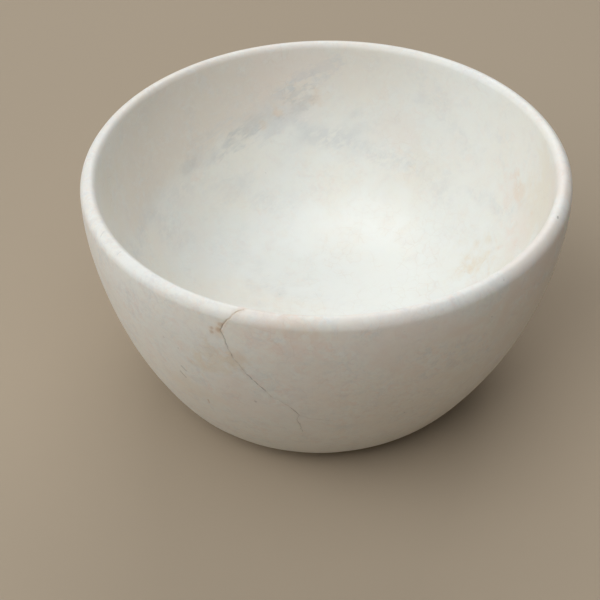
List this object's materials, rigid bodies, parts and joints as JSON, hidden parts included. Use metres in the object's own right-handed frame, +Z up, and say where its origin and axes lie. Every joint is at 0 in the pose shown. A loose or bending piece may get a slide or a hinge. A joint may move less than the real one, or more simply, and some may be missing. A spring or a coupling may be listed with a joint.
{
  "type": "shaving bowl",
  "caption": "Round marble shaving bowl with a deep open inside, a thin rounded rim, gently curved sides and a flat foot.",
  "frame": {"origin": "centre of the flat underside of the foot", "axes": "+Z up the bowl's own axis, out of its open top; the bowl is round, so +X and +Y are free, and the fissure in the stone is on the -Y side"},
  "size_m": [0.11, 0.11, 0.058],
  "materials": {
    "marble": "honed white marble, satin, with faint grey clouds and a thin brown fissure"
  },
  "bodies": {
    "root": {"bowl": "marble"}
  },
  "joints": []
}
